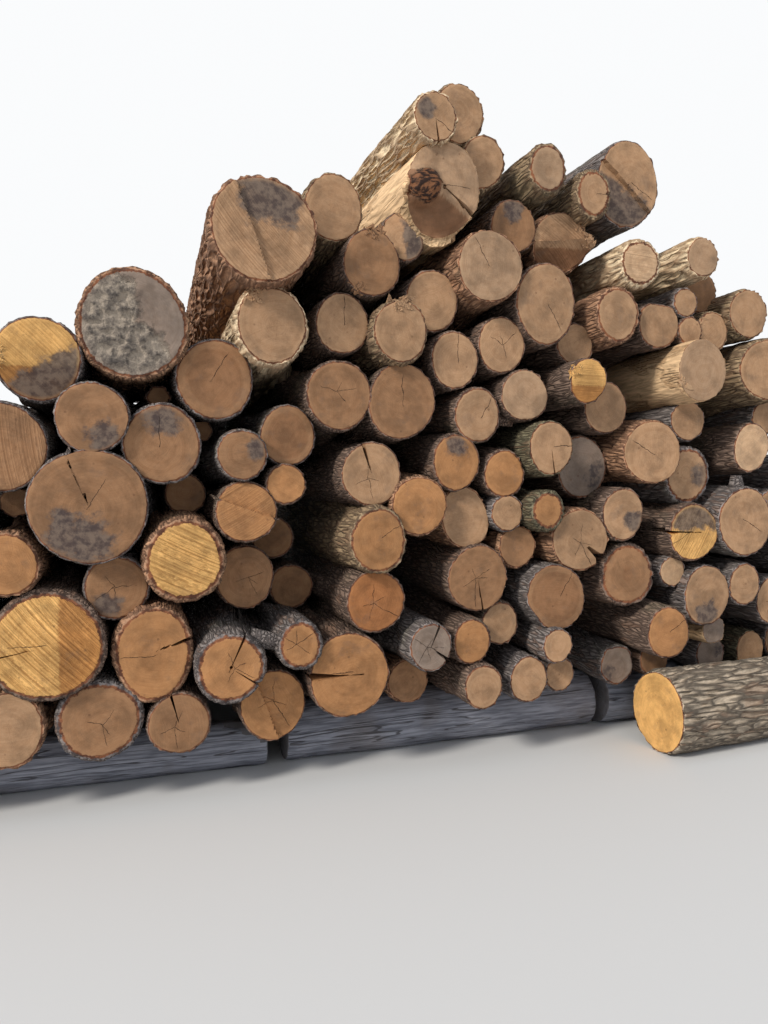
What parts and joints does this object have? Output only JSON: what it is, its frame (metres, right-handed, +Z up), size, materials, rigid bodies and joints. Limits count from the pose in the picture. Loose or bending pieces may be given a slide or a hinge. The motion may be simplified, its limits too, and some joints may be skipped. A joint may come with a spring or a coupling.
{
  "type": "heap of logs",
  "caption": "Heap of sawn hardwood logs with rough bark, one log deep, lying across bearer logs, with one more log at its foot.",
  "frame": {"origin": "on the ground, under the middle of the whole heap's bounding box", "axes": "+X along the face of the heap, to the right for someone who looks at the sawn ends; +Y into the heap, along the logs; +Z up"},
  "size_m": [7.18, 3.1568, 3.598],
  "materials": {
    "heap_log": "rough bark with sawn ends",
    "furrowed_log": "deeply furrowed bark with sawn ends",
    "weathered_wood": "silver-grey, weathered and cracked"
  },
  "bodies": {
    "root": {"course_01_logs_a": "heap_log", "course_01_logs_b": "heap_log", "course_02_logs_a": "heap_log", "course_02_logs_b": "heap_log", "course_03_logs_a": "heap_log", "course_03_logs_b": "heap_log", "course_04_logs_a": "heap_log", "course_04_logs_b": "heap_log", "course_05_logs_a": "heap_log", "course_05_logs_b": "heap_log", "course_06_logs_a": "heap_log", "course_06_logs_b": "heap_log", "course_07_logs_a": "heap_log", "course_07_logs_b": "heap_log", "course_08_logs_a": "heap_log", "course_08_logs_b": "heap_log", "course_09_logs_a": "heap_log", "course_09_logs_b": "heap_log", "course_10_logs_a": "heap_log", "course_10_logs_b": "heap_log", "course_11_logs_a": "heap_log", "course_11_logs_b": "heap_log", "course_12_logs_a": "heap_log", "course_12_logs_b": "heap_log", "foot_log": "furrowed_log", "front_bearer_left": "weathered_wood", "front_bearer_middle": "weathered_wood", "front_bearer_right": "weathered_wood", "gap_logs_a": "heap_log", "gap_logs_b": "heap_log", "rear_bearer_left": "weathered_wood", "rear_bearer_middle": "weathered_wood", "rear_bearer_right": "weathered_wood"}
  },
  "joints": []
}
